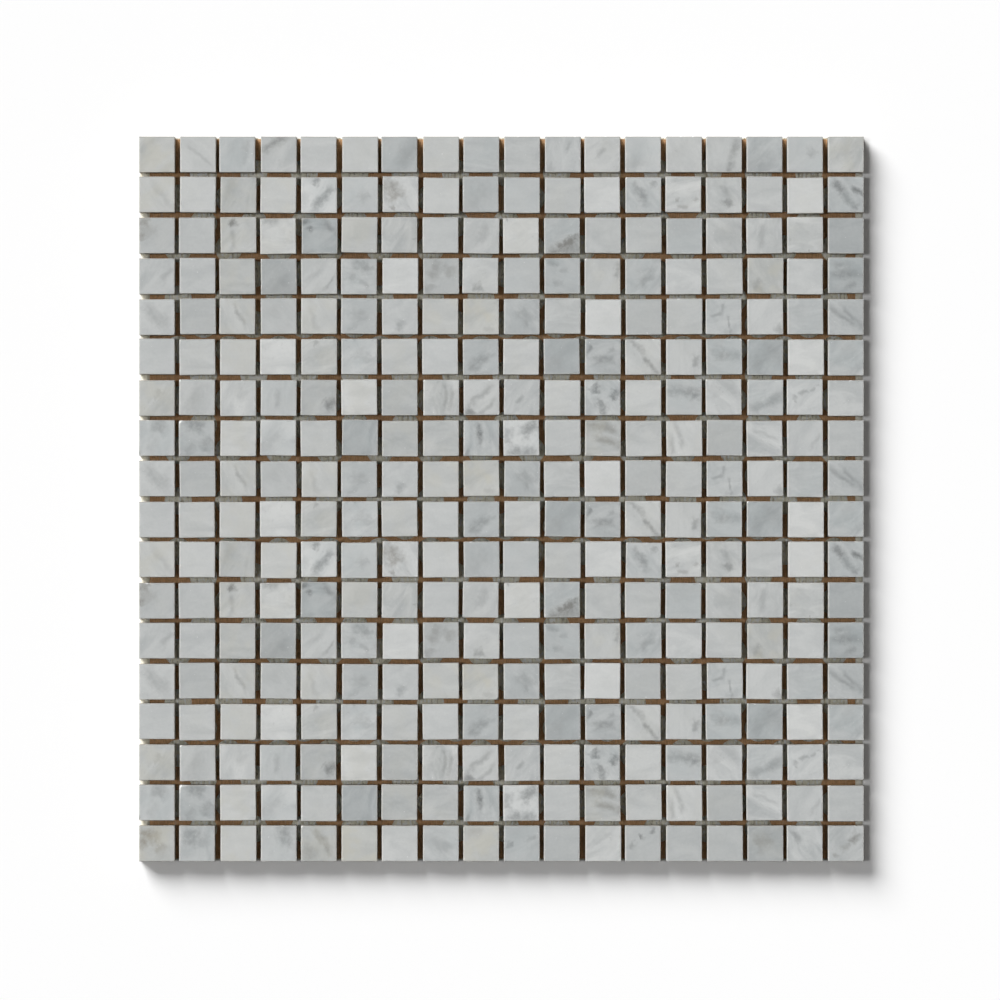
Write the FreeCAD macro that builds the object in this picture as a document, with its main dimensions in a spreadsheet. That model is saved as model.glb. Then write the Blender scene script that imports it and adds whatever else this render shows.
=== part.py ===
import FreeCAD, Part
import os
import random

import Sketcher

# A mosaic tile sheet: square marble chips laid face up in straight rows, with open joints
# between them, and glued by their sawn backs to one web of perforated kraft paper.
# The sheet lies flat. X runs along the rows, Y up the sheet as it is hung on a wall, Z is
# up, and the origin is at the centre of the underside. Sizes are in millimetres.

# Driving sizes: millimetres, degrees for lay_turn, and plain counts.
SIZES = {
    "chip_side": 15.0,            # side of a chip, which is square
    "chip_thickness": 8.0,        # polished face to sawn back
    "joint_width": 2.0,           # open joint between two chips laid true
    "chips_in_row": 18,
    "row_count": 18,
    "lay_shift": 0.3,             # how far a chip may lie from its true place
    "lay_turn": 0.8,              # how far a chip may be turned from square
    "paper_thickness": 0.25,      # kraft paper with its coat of glue
    "paper_inset_x": 3.7,         # the web stops this far inside the left and right edges
    "paper_inset_y": 0.8,         # and this far inside the top and bottom edges
    "paper_shift_x": 0.5,         # the web was laid a little to the right of the stones
    "hole_diameter": 11.5,        # round holes that let the tile cement through the web
    "hole_sides": 6,              # straight sides that stand for the round edge
    "hole_pitch": 15.0,           # hole to hole, in lines that run at 45 degrees
    "hole_border": 2.0,           # least width of whole paper outside the outer holes
    "hole_shift_x": 1.5,          # the punched pattern sits off the web's centre
    "hole_shift_y": -0.8,
}

# The same hand lays every sheet: the seed fixes which chips lie askew.
LAY_SEED = 15


def size(name):
    """The spreadsheet cell of a driving size, as it is written in an expression."""
    return f"<<sizes>>.{name}"


# Step from one chip to the next, along a row and up the sheet.
CHIP_STEP = f"({size('chip_side')} + {size('joint_width')})"

# Width and height of the paper web, inside the outline of the outer chips.
SHEET_WIDTH = f"({size('chips_in_row')} * {CHIP_STEP} - {size('joint_width')})"
SHEET_HEIGHT = f"({size('row_count')} * {CHIP_STEP} - {size('joint_width')})"
PAPER_WIDTH = f"({SHEET_WIDTH} - 2 * {size('paper_inset_x')})"
PAPER_HEIGHT = f"({SHEET_HEIGHT} - 2 * {size('paper_inset_y')})"

# Two square lattices, each shifted by half a step, make the staggered pattern of holes.
HOLE_STEP = f"({size('hole_pitch')} * sqrt(2))"


def holes_that_fit(paper_length, shift):
    """How many holes a full line takes with a whole border of paper at both its ends."""
    ends = f"{size('hole_diameter')} + 2 * {size('hole_border')} + 2 * abs({size(shift)})"
    return f"floor(({paper_length} - ({ends})) / {HOLE_STEP}) + 1"


HOLES_ACROSS = holes_that_fit(PAPER_WIDTH, "hole_shift_x")
HOLES_UP = holes_that_fit(PAPER_HEIGHT, "hole_shift_y")


def make_sheet_of_sizes(doc):
    """The spreadsheet: names in column A, values with aliases in column B."""
    sheet = doc.addObject("Spreadsheet::Sheet", "sizes")
    for line, (name, value) in enumerate(SIZES.items(), start=1):
        sheet.set(f"A{line}", name)
        sheet.set(f"B{line}", str(value))
        sheet.setAlias(f"B{line}", name)
    doc.recompute()


def count_of(doc, expression):
    """The whole number that an expression in the sheet's sizes comes to."""
    return int(doc.getObject("sizes").evalExpression(expression))


def new_sketch(body, name):
    """An empty sketch on the body's own ground plane."""
    sketch = body.newObject("Sketcher::SketchObject", name)
    planes = body.Origin.OriginFeatures
    ground = next(plane for plane in planes if plane.Role == "XY_Plane")
    sketch.AttachmentSupport = [(ground, "")]
    sketch.MapMode = "FlatFace"
    return sketch


def add_loop(sketch, points):
    """A closed loop of straight lines through the points, joined end to end."""
    first = sketch.GeometryCount
    count = len(points)
    for start, end in zip(points, points[1:] + points[:1]):
        sketch.addGeometry(Part.LineSegment(start, end))
    for side in range(count):
        after = (side + 1) % count
        sketch.addConstraint(Sketcher.Constraint("Coincident", first + side, 2, first + after, 1))
    return [first + side for side in range(count)]


def sketch_rectangle(body, name, width, height):
    """A rectangle centred on the origin, its sides bound to two expressions."""
    sketch = new_sketch(body, name)
    corners = [FreeCAD.Vector(x, y, 0) for x, y in ((-1, -1), (1, -1), (1, 1), (-1, 1))]
    bottom, right, top, left = add_loop(sketch, corners)
    for side in (bottom, top):
        sketch.addConstraint(Sketcher.Constraint("Horizontal", side))
    for side in (right, left):
        sketch.addConstraint(Sketcher.Constraint("Vertical", side))
    sketch.addConstraint(Sketcher.Constraint("Symmetric", bottom, 1, right, 2, -1, 1))
    across = sketch.addConstraint(Sketcher.Constraint("DistanceX", bottom, 1, bottom, 2, 2))
    upward = sketch.addConstraint(Sketcher.Constraint("DistanceY", right, 1, right, 2, 2))
    sketch.setExpression(f"Constraints[{across}]", width)
    sketch.setExpression(f"Constraints[{upward}]", height)
    return sketch


def make_chip(doc):
    """One chip, sawn square from a strip of marble, standing on the paper."""
    chip = doc.addObject("PartDesign::Body", "marble_chip")
    outline = sketch_rectangle(chip, "chip_outline", size("chip_side"), size("chip_side"))
    block = chip.newObject("PartDesign::Pad", "chip_block")
    block.Profile = outline
    block.setExpression("Length", size("chip_thickness"))
    chip.setExpression("Placement.Base.z", size("paper_thickness"))
    return chip


def lay_chip(doc, chip, row, column, lay):
    """A copy of the chip at its place in the sheet, with its own small shift and turn.

    The outer chips lie square and flush along the edge of the sheet.
    """
    copy = doc.addObject("App::Link", f"chip_{row:02d}_{column:02d}")
    copy.LinkedObject = chip
    copy.LinkTransform = True
    at_side = column in (1, SIZES["chips_in_row"])
    at_end = row in (1, SIZES["row_count"])
    shift_x = 0 if at_side else round(lay.uniform(-1, 1), 2)
    shift_y = 0 if at_end else round(lay.uniform(-1, 1), 2)
    turn = 0 if at_side or at_end else round(lay.uniform(-1, 1), 2)
    steps_x = f"({column} - ({size('chips_in_row')} + 1) / 2)"
    steps_y = f"(({size('row_count')} + 1) / 2 - {row})"
    copy.setExpression("Placement.Base.x", f"{steps_x} * {CHIP_STEP} + {shift_x} * {size('lay_shift')}")
    copy.setExpression("Placement.Base.y", f"{steps_y} * {CHIP_STEP} + {shift_y} * {size('lay_shift')}")
    copy.setExpression("Placement.Rotation.Angle", f"{turn} * {size('lay_turn')}")
    return copy


def make_tile_row(doc, chip, row, lay):
    """One row of chips, counted from the top of the sheet: separate stones in line."""
    tile_row = doc.addObject("Part::Compound", f"tile_row_{row:02d}")
    columns = range(1, SIZES["chips_in_row"] + 1)
    tile_row.Links = [lay_chip(doc, chip, row, column, lay) for column in columns]
    return tile_row


def make_hole_line(doc, hole, name, count):
    """Holes side by side along X, a lattice step apart, their middle at X = 0."""
    holes = []
    for number in range(1, count + 1):
        copy = doc.addObject("App::Link", f"{name}_hole_{number:02d}")
        copy.LinkedObject = hole
        copy.setExpression("Placement.Base.x", f"({number} - ({count} + 1) / 2) * {HOLE_STEP}")
        holes.append(copy)
    line = doc.addObject("Part::Compound", name)
    line.Links = holes
    return line


def cut_band(doc, name, height, lines):
    """A band of paper across the whole web, its lower edge at Y = 0, with lines of holes.

    Each line is given with the height above that edge at which its holes have their centres.
    """
    band = doc.addObject("Part::Box", f"{name}_paper")
    band.setExpression("Length", PAPER_WIDTH)
    band.setExpression("Width", height)
    band.setExpression("Height", size("paper_thickness"))
    band.setExpression("Placement.Base.x", f"{size('paper_shift_x')} - {PAPER_WIDTH} / 2")
    holes = []
    for number, (line, centre) in enumerate(lines, start=1):
        copy = doc.addObject("App::Link", f"{name}_line_{number}")
        copy.LinkedObject = line
        copy.setExpression("Placement.Base.x", f"{size('paper_shift_x')} + {size('hole_shift_x')}")
        copy.setExpression("Placement.Base.y", centre)
        holes.append(copy)
    punched = doc.addObject("Part::Compound", f"{name}_holes")
    punched.Links = holes
    cut = doc.addObject("Part::Cut", name)
    cut.Base = band
    cut.Tool = punched
    cut.Refine = False
    return cut


def make_backing_paper(doc):
    """The kraft paper web that holds the chips, with its staggered round holes.

    It is laid out in bands as high as the pattern's step. A band has a full line of holes
    along its middle and half of a shorter line along each edge, and the bands join edge to
    edge into one web, so that no face has more than a line of whole holes in it.
    """
    hole = doc.addObject("Part::Prism", "hole")
    hole.setExpression("Polygon", size("hole_sides"))
    hole.setExpression("Circumradius", f"{size('hole_diameter')} / 2")
    hole.setExpression("Height", size("paper_thickness"))
    across = count_of(doc, HOLES_ACROSS)
    band_count = count_of(doc, HOLES_UP) - 1
    full_line = make_hole_line(doc, hole, "full_line", across)
    short_line = make_hole_line(doc, hole, "short_line", across - 1)
    lines = [(short_line, "0"), (full_line, f"{HOLE_STEP} / 2"), (short_line, HOLE_STEP)]
    band = cut_band(doc, "hole_band", HOLE_STEP, lines)
    border = f"({PAPER_HEIGHT} - {band_count} * {HOLE_STEP}) / 2"
    lower_border = f"({border} + {size('hole_shift_y')})"
    upper_border = f"({border} - {size('hole_shift_y')})"
    bottom = cut_band(doc, "bottom_border", lower_border, [(short_line, lower_border)])
    top = cut_band(doc, "top_border", upper_border, [(short_line, "0")])
    bottom.setExpression("Placement.Base.y", f"-{PAPER_HEIGHT} / 2")
    top.setExpression("Placement.Base.y", f"{PAPER_HEIGHT} / 2 - {upper_border}")
    pieces = [bottom, top]
    for number in range(band_count):
        copy = doc.addObject("App::Link", f"hole_band_{number + 1:02d}")
        copy.LinkedObject = band
        height = f"{lower_border} - {PAPER_HEIGHT} / 2 + {number} * {HOLE_STEP}"
        copy.setExpression("Placement.Base.y", height)
        pieces.append(copy)
    paper = doc.addObject("Part::MultiFuse", "backing_paper")
    paper.Shapes = pieces
    paper.Refine = False
    return paper


def check(doc, sub_parts):
    """Stop before anything is written if an object failed or a shape isn't sound."""
    for item in doc.Objects:
        if "Invalid" in item.State or "Error" in item.State:
            raise RuntimeError(f"{item.Label} failed: {item.State}")
    for sub_part in sub_parts:
        if sub_part.Shape.isNull() or not sub_part.Shape.isValid():
            raise RuntimeError(f"{sub_part.Label} has no sound shape")


def main():
    doc = FreeCAD.newDocument("mosaic_tile_sheet")
    make_sheet_of_sizes(doc)
    chip = make_chip(doc)
    lay = random.Random(LAY_SEED)
    rows = range(1, SIZES["row_count"] + 1)
    sub_parts = [make_tile_row(doc, chip, row, lay) for row in rows]
    sub_parts.append(make_backing_paper(doc))
    doc.recompute()
    check(doc, sub_parts)
    os.makedirs("parts", exist_ok=True)
    for sub_part in sub_parts:
        sub_part.Shape.exportStep(os.path.join("parts", f"{sub_part.Label}.step"))
        print(sub_part.Label, len(sub_part.Shape.Solids), round(sub_part.Shape.Volume, 1),
              sub_part.Shape.BoundBox)


main()
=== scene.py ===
import math

import bpy
import numpy as np
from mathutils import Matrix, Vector, noise
from mathutils.geometry import delaunay_2d_cdt


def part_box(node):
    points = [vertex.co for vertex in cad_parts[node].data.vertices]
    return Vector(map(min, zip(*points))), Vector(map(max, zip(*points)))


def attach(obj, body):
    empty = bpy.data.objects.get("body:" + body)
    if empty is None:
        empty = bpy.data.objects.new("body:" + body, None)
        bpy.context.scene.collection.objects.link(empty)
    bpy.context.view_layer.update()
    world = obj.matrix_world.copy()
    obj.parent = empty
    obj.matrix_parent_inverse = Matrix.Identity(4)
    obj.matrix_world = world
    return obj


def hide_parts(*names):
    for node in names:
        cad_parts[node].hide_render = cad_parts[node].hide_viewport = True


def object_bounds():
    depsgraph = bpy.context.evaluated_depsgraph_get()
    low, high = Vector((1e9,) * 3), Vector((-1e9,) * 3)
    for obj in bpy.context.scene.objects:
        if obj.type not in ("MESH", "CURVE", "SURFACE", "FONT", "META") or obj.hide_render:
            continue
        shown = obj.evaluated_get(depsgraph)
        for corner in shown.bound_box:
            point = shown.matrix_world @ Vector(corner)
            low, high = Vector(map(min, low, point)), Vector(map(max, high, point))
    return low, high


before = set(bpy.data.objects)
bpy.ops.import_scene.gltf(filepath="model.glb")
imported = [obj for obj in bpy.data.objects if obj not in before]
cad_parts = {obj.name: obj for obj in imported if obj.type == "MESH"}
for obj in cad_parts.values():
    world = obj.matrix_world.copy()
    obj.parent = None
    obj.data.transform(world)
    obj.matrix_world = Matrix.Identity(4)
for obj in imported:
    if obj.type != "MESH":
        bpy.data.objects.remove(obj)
cad_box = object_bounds()

# Everything is worked out in millimetres and turned to metres when a mesh is made.
MM = 0.001

# The sheet, as the frame has it.
CHIPS_IN_ROW = 18
ROW_NODES = sorted(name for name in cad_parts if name.startswith("tile_row_"))
SHEET_HALF = cad_box[1][0] / MM
CHIP_SIDE = 15.0
JOINT_WIDTH = 2.0
CHIP_STEP = CHIP_SIDE + JOINT_WIDTH

# The paper web and its two lattices of round holes.
PAPER_LOW, PAPER_HIGH = (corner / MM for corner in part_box("backing_paper"))
HOLE_RADIUS = 5.75
HOLE_STEP = 15.0 * math.sqrt(2)
HOLES_ACROSS = 14
HOLES_UP = 14
PATTERN_CENTRE = Vector((2.0, -0.8))

# The photograph in its pixels: the width of its frame, the step from chip to chip and the sheet's
# centre. Then the camera's height above the polished faces and the width of its sensor.
PHOTO_PIXELS = 1000
PIXELS_PER_STEP = 40.54
SHEET_CENTRE_PIXEL = (501.4, 499.0)
CAMERA_HEIGHT = 3000.0
SENSOR_WIDTH = 36.0

# The nine lines of chips that the photograph shows, from its top: some show more than once.
STRIPS = (1, 2, 3, 4, 5, 6, 7, 8, 5, 6, 2, 3, 4, 5, 6, 7, 8, 9)
MARKS_PER_CHIP = 3


# Making meshes

def new_object(name, vertices, faces, attributes, material, smooth=True):
    """A mesh object from places in millimetres, with its own values stored on the vertices."""
    mesh = bpy.data.meshes.new(name)
    mesh.from_pydata((np.asarray(vertices) * MM).tolist(), [], faces)
    for label, values in attributes.items():
        values = np.asarray(values, dtype=np.float32)
        if values.ndim == 2:
            mesh.attributes.new(label, "FLOAT_VECTOR", "POINT").data.foreach_set("vector", values.ravel())
        else:
            mesh.attributes.new(label, "FLOAT", "POINT").data.foreach_set("value", values)
    mesh.polygons.foreach_set("use_smooth", [smooth] * len(mesh.polygons))
    mesh.materials.append(material)
    mesh.validate()
    piece = bpy.data.objects.new(name, mesh)
    bpy.context.scene.collection.objects.link(piece)
    return piece


# How far each seed moves the noise, in three directions.
NOISE_SHIFT = (7.31, 3.17, 5.53)


def smooth_noise(places, seed):
    """Gentle noise between about -1 and 1 for rows of places, one value each."""
    shift = Vector([seed * move for move in NOISE_SHIFT])
    return np.array([noise.noise(Vector(place) + shift) for place in places])


def join(parts):
    """Places and faces of several meshes as one, each given as its own places and faces."""
    vertices, faces, start = [], [], 0
    for places, own_faces in parts:
        vertices.append(places)
        faces += [tuple(start + corner for corner in face) for face in own_faces]
        start += len(places)
    return np.concatenate(vertices), faces


def grid_faces(lines, rows):
    """Faces between places that come line by line, with as many rows in each."""
    faces = []
    for i in range(lines - 1):
        for j in range(rows - 1):
            corner = i * rows + j
            faces.append((corner, corner + rows, corner + rows + 1, corner + 1))
    return faces


def flipped(faces):
    """The same faces seen from their other side."""
    return [face[::-1] for face in faces]


def open_edges(faces):
    """Edges that only one face has, in its own direction."""
    edges = {(a, b) for corners in faces for a, b in zip(corners, corners[1:] + corners[:1])}
    return sorted((a, b) for a, b in edges if (b, a) not in edges)


def slab(spots, faces, low, high):
    """A thin closed mesh: the faces at two heights, and walls along their open edges."""
    count = len(spots)
    lower = np.column_stack([spots, np.broadcast_to(low, count)])
    upper = np.column_stack([spots, np.broadcast_to(high, count)])
    shell = [tuple(corner + count for corner in face) for face in faces]
    shell += flipped(faces)
    shell += [(a, b, b + count, a + count) for a, b in open_edges(faces)]
    return np.concatenate([lower, upper]), shell


# Materials

# Places of the colour sockets on a mix node, whose names are the same for every kind of value.
MIX_FIRST, MIX_SECOND, MIX_RESULT = 6, 7, 2


class Shader:
    """A material whose nodes are added one by one, each call giving the new output."""

    def __init__(self, name):
        self.material = bpy.data.materials.new(name)
        self.material.use_nodes = True
        self.nodes = self.material.node_tree.nodes
        self.links = self.material.node_tree.links
        self.surface = self.nodes["Principled BSDF"]

    def put(self, socket, value):
        """Give a socket another node's output, a colour or a number."""
        if isinstance(value, bpy.types.NodeSocket):
            self.links.new(value, socket)
        elif isinstance(value, tuple) and len(value) == 3 and socket.type == "RGBA":
            socket.default_value = (*value, 1.0)
        else:
            socket.default_value = value

    def give(self, name, value):
        """The same for one of the surface's own inputs."""
        self.put(self.surface.inputs[name], value)

    def attribute(self, name, output="Fac"):
        node = self.nodes.new("ShaderNodeAttribute")
        node.attribute_name = name
        return node.outputs[output]

    def parts(self, vector):
        """The three parts of a vector as outputs of their own."""
        node = self.nodes.new("ShaderNodeSeparateXYZ")
        self.put(node.inputs[0], vector)
        return node.outputs

    def object_place(self):
        return self.nodes.new("ShaderNodeTexCoord").outputs["Object"]

    def math(self, operation, *values, clamp=False):
        node = self.nodes.new("ShaderNodeMath")
        node.operation = operation
        node.use_clamp = clamp
        for socket, value in zip(node.inputs, values):
            self.put(socket, value)
        return node.outputs[0]

    def plus(self, first, second, clamp=False):
        return self.math("ADD", first, second, clamp=clamp)

    def times(self, first, second):
        return self.math("MULTIPLY", first, second)

    def stretch(self, vector, scale, turn=0.0):
        node = self.nodes.new("ShaderNodeMapping")
        self.put(node.inputs["Vector"], vector)
        node.inputs["Scale"].default_value = scale
        node.inputs["Rotation"].default_value = (0.0, 0.0, math.radians(turn))
        return node.outputs[0]

    def noise(self, vector, scale, detail=2.0, roughness=0.5, distortion=0.0):
        node = self.nodes.new("ShaderNodeTexNoise")
        self.put(node.inputs["Vector"], vector)
        node.inputs["Scale"].default_value = scale
        node.inputs["Detail"].default_value = detail
        node.inputs["Roughness"].default_value = roughness
        node.inputs["Distortion"].default_value = distortion
        return node.outputs[0]

    def ramp(self, value, low, high, to_low=0.0, to_high=1.0):
        """From to_low where the value is low to to_high where it is high, with soft ends."""
        node = self.nodes.new("ShaderNodeMapRange")
        node.interpolation_type = "SMOOTHSTEP"
        self.put(node.inputs["Value"], value)
        names = ("From Min", "From Max", "To Min", "To Max")
        for name, number in zip(names, (low, high, to_low, to_high)):
            node.inputs[name].default_value = number
        return node.outputs[0]

    def mix(self, amount, first, second):
        node = self.nodes.new("ShaderNodeMix")
        node.data_type = "RGBA"
        self.put(node.inputs[0], amount)
        self.put(node.inputs[MIX_FIRST], first)
        self.put(node.inputs[MIX_SECOND], second)
        return node.outputs[MIX_RESULT]

    def bump(self, height, strength, distance):
        node = self.nodes.new("ShaderNodeBump")
        self.put(node.inputs["Height"], height)
        node.inputs["Strength"].default_value = strength
        node.inputs["Distance"].default_value = distance
        self.give("Normal", node.outputs[0])


# The marble's colours: the stone and what lies in it, then its sides and edges.
GREY_STONE = (0.318, 0.339, 0.343)
PALE_STONE = (0.622, 0.632, 0.623)
GREY_SMOKE = (0.158, 0.166, 0.167)
BROWN_SMOKE = (0.22, 0.19, 0.145)
VEIN_CORE = (0.10, 0.095, 0.088)
SMUDGE = (0.26, 0.27, 0.27)
PALE_FLECK = (0.74, 0.75, 0.74)
WARM_STONE = (0.52, 0.505, 0.43)
COOL_STONE = (0.43, 0.475, 0.482)
DARK_GRAIN = (0.30, 0.31, 0.31)
SAWN_STONE = (0.45, 0.395, 0.31)
GLUE_CREEP = (0.20, 0.145, 0.085)
# Pale arrises: partly real wear, partly a painted glow standing in for light through the stone's edge.
WORN_AND_GLOWING_ARRIS = (0.68, 0.665, 0.61)
# Painted shade for the arrises that face the top of the sheet.
TOP_ARRIS_SHADE = (0.25, 0.24, 0.22)
BROKEN_STONE = (0.66, 0.67, 0.66)

# How the clouds are drawn out along the veins, and the saw's lines along the sides.
CLOUD_STRETCH = (0.075, 0.165, 0.14)
SAW_STRETCH = (180.0, 180.0, 2600.0)


def cloudy_stone(look, stone, mottle):
    """The chip's own tone, with clouds and a fine mottle."""
    drawn_out = look.stretch(stone, CLOUD_STRETCH)
    clouds = look.noise(drawn_out, 1.0, detail=4.0, roughness=0.6, distortion=0.6)
    swell = look.times(look.attribute("busy"), look.ramp(clouds, 0.25, 0.75, -0.37, 0.37))
    level = look.plus(look.attribute("tone"), swell)
    level = look.plus(level, look.ramp(mottle, 0.2, 0.8, -0.05, 0.05), clamp=True)
    return look.mix(level, GREY_STONE, PALE_STONE)


def draw_marks(look, stone, colour):
    """The chip's own marks, smoky grey or brown, with wavering and frayed sides."""
    wobble = look.noise(stone, 0.13)
    sideways = look.ramp(wobble, 0.2, 0.8, -1.1, 1.1)
    endways = look.ramp(look.noise(stone, 0.31), 0.2, 0.8, -1.6, 1.6)
    frays = look.ramp(look.noise(stone, 0.75, detail=5.0, roughness=0.65), 0.25, 0.75, -0.4, 0.4)
    blotches = look.ramp(look.noise(stone, 0.45, detail=4.0, roughness=0.6), 0.34, 0.56, 0.6, 1.0)
    smoke = look.mix(look.attribute("stain"), GREY_SMOKE, BROWN_SMOKE)
    for number in range(1, MARKS_PER_CHIP + 1):
        across, along, _ = look.parts(look.attribute(f"mark_{number}_place", "Vector"))
        width, length, depth = look.parts(look.attribute(f"mark_{number}_size", "Vector"))
        aside = look.math("DIVIDE", look.math("ABSOLUTE", look.plus(across, sideways)), width)
        aside = look.plus(aside, frays)
        beyond = look.math("DIVIDE", look.math("ABSOLUTE", look.plus(along, endways)), length)
        amount = look.times(look.ramp(aside, 0.0, 1.9, 1.0, 0.0), look.ramp(beyond, 0.5, 1.3, 1.0, 0.0))
        amount = look.times(amount, look.times(depth, blotches))
        colour = look.mix(amount, colour, smoke)
        core = look.times(look.math("POWER", amount, 3.0), 0.35)
        colour = look.mix(core, colour, VEIN_CORE)
    return colour


def tinted_stone(look, stone, grain, colour):
    """Faint smudges, pale flecks, a warm or cool cast in places, and dark grains."""
    smudges = look.noise(stone, 0.42, detail=3.0, roughness=0.55, distortion=0.8)
    amount = look.times(look.attribute("busy"), 0.36)
    colour = look.mix(look.times(look.ramp(smudges, 0.62, 0.76), amount), colour, SMUDGE)
    flecks = look.ramp(look.noise(stone, 1.0, detail=1.0), 0.75, 0.82, 0.0, 0.6)
    colour = look.mix(flecks, colour, PALE_FLECK)
    places = look.ramp(look.noise(stone, 0.11), 0.42, 0.62, 0.35, 1.0)
    colour = look.mix(look.times(look.attribute("warmth"), places), colour, WARM_STONE)
    colour = look.mix(look.times(look.attribute("coolness"), places), colour, COOL_STONE)
    return look.mix(look.ramp(grain, 0.3, 0.7, 0.0, 0.08), colour, DARK_GRAIN)


def edged_stone(look, mottle, polish, broken, colour):
    """Sawn sides with glue at their feet, pale arrises that are partly wear and partly a painted glow,
    painted shade on the arrises towards the top of the sheet, and broken places.
    """
    sawn = look.mix(0.5, colour, SAWN_STONE)
    creep = look.plus(look.attribute("height"), look.ramp(mottle, 0.3, 0.7, -0.12, 0.12))
    sawn = look.mix(look.ramp(creep, 0.02, 0.42, 0.65, 0.0), sawn, GLUE_CREEP)
    colour = look.mix(polish, sawn, colour)
    # The pale arrises are partly wear and partly a painted glow of light through the edge.
    worn = look.times(look.attribute("arris"), look.ramp(mottle, 0.3, 0.6, 0.25, 0.7))
    colour = look.mix(worn, colour, WORN_AND_GLOWING_ARRIS)
    # Painted shade darkens the arrises towards the top of the sheet.
    colour = look.mix(look.times(look.attribute("top_arris_shade"), 0.75), colour, TOP_ARRIS_SHADE)
    return look.mix(look.times(broken, 0.8), colour, BROKEN_STONE)


def make_marble():
    """Cool grey-white marble: clouds, soft veins, grain, paler arrises that are partly a painted glow,
    painted shade on those towards the top of the sheet, and sawn sides.
    """
    look = Shader("marble")
    stone = look.attribute("stone", "Vector")
    mottle = look.noise(stone, 0.9, detail=4.0, roughness=0.6)
    grain = look.noise(stone, 5.0)
    polish = look.attribute("polish")
    broken = look.attribute("broken")
    colour = cloudy_stone(look, stone, mottle)
    colour = draw_marks(look, stone, colour)
    colour = tinted_stone(look, stone, grain, colour)
    colour = edged_stone(look, mottle, polish, broken, colour)
    look.give("Base Color", colour)

    gloss = look.times(polish, look.math("SUBTRACT", 1.0, broken))
    rough = look.ramp(gloss, 0.0, 1.0, 0.72, 0.46)
    rough = look.plus(rough, look.ramp(mottle, 0.3, 0.7, -0.04, 0.06))
    look.give("Roughness", rough)
    saw_lines = look.noise(look.stretch(look.object_place(), SAW_STRETCH), 1.0)
    look.bump(look.mix(polish, saw_lines, look.times(grain, 0.12)), strength=0.35, distance=0.0002)
    return look.material


# The kraft paper's colours, and how its long fibres, its cross fibres and the glue lines run.
BROWN_FIBRE = (0.435, 0.246, 0.121)
TAN_FIBRE = (0.757, 0.446, 0.226)
PALE_FIBRE = (0.82, 0.55, 0.31)
BROWN_BLOTCH = (0.384, 0.203, 0.096)
GLUED_FIBRE = (0.50, 0.42, 0.32)
FIBRE_STRETCH = (3200.0, 500.0, 800.0)
CROSS_FIBRE_STRETCH = (420.0, 2900.0, 800.0)
CROSS_FIBRE_TURN = 24.0
COAT_STRETCH = (900.0, 60.0, 60.0)


def make_kraft_paper():
    """Brown kraft paper: long fibres, blotches, a coat of glue in lines on the upper face."""
    look = Shader("kraft_paper")
    place = look.object_place()
    fibres = look.noise(look.stretch(place, FIBRE_STRETCH), 1.0, detail=4.0, roughness=0.65)
    crossing = look.stretch(place, CROSS_FIBRE_STRETCH, turn=CROSS_FIBRE_TURN)
    cross_fibres = look.noise(crossing, 1.0, detail=3.0)
    blotches = look.noise(place, 90.0, detail=3.0, distortion=0.4)
    colour = look.mix(look.ramp(fibres, 0.3, 0.7), BROWN_FIBRE, TAN_FIBRE)
    colour = look.mix(look.ramp(cross_fibres, 0.52, 0.75, 0.0, 0.5), colour, PALE_FIBRE)
    colour = look.mix(look.ramp(blotches, 0.45, 0.75, 0.0, 0.45), colour, BROWN_BLOTCH)
    lines = look.noise(look.stretch(place, COAT_STRETCH), 1.0)
    coat = look.times(look.attribute("glued"), look.ramp(lines, 0.55, 0.72))
    colour = look.mix(look.times(coat, 0.30), colour, GLUED_FIBRE)
    look.give("Base Color", colour)
    look.give("Roughness", look.ramp(coat, 0.0, 1.0, 0.78, 0.42))
    look.bump(look.plus(fibres, look.times(cross_fibres, 0.7)), strength=0.5, distance=0.00012)
    return look.material


# The glue's colours, and how the spreader's lines and drops run. Their pale and dark colours are partly
# the glue's own and partly painted glints and painted shade of its ridges.
CLOUDY_GLUE = (0.83, 0.80, 0.64)
MILKY_GLUE = (0.98, 0.96, 0.82)
PALE_LINE_AND_GLINT = (0.98, 0.98, 0.92)
DARK_LINE_AND_SHADE = (0.36, 0.31, 0.22)
PALE_DROP_AND_GLINT = (0.98, 0.99, 0.96)
DARK_DROP_AND_SHADE = (0.16, 0.14, 0.10)
LIT_OUTER_GLUE = (0.90, 0.86, 0.72)
LINE_STRETCH = (800.0, 70.0, 40.0)
DROP_STRETCH = (900.0, 420.0, 40.0)


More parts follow.
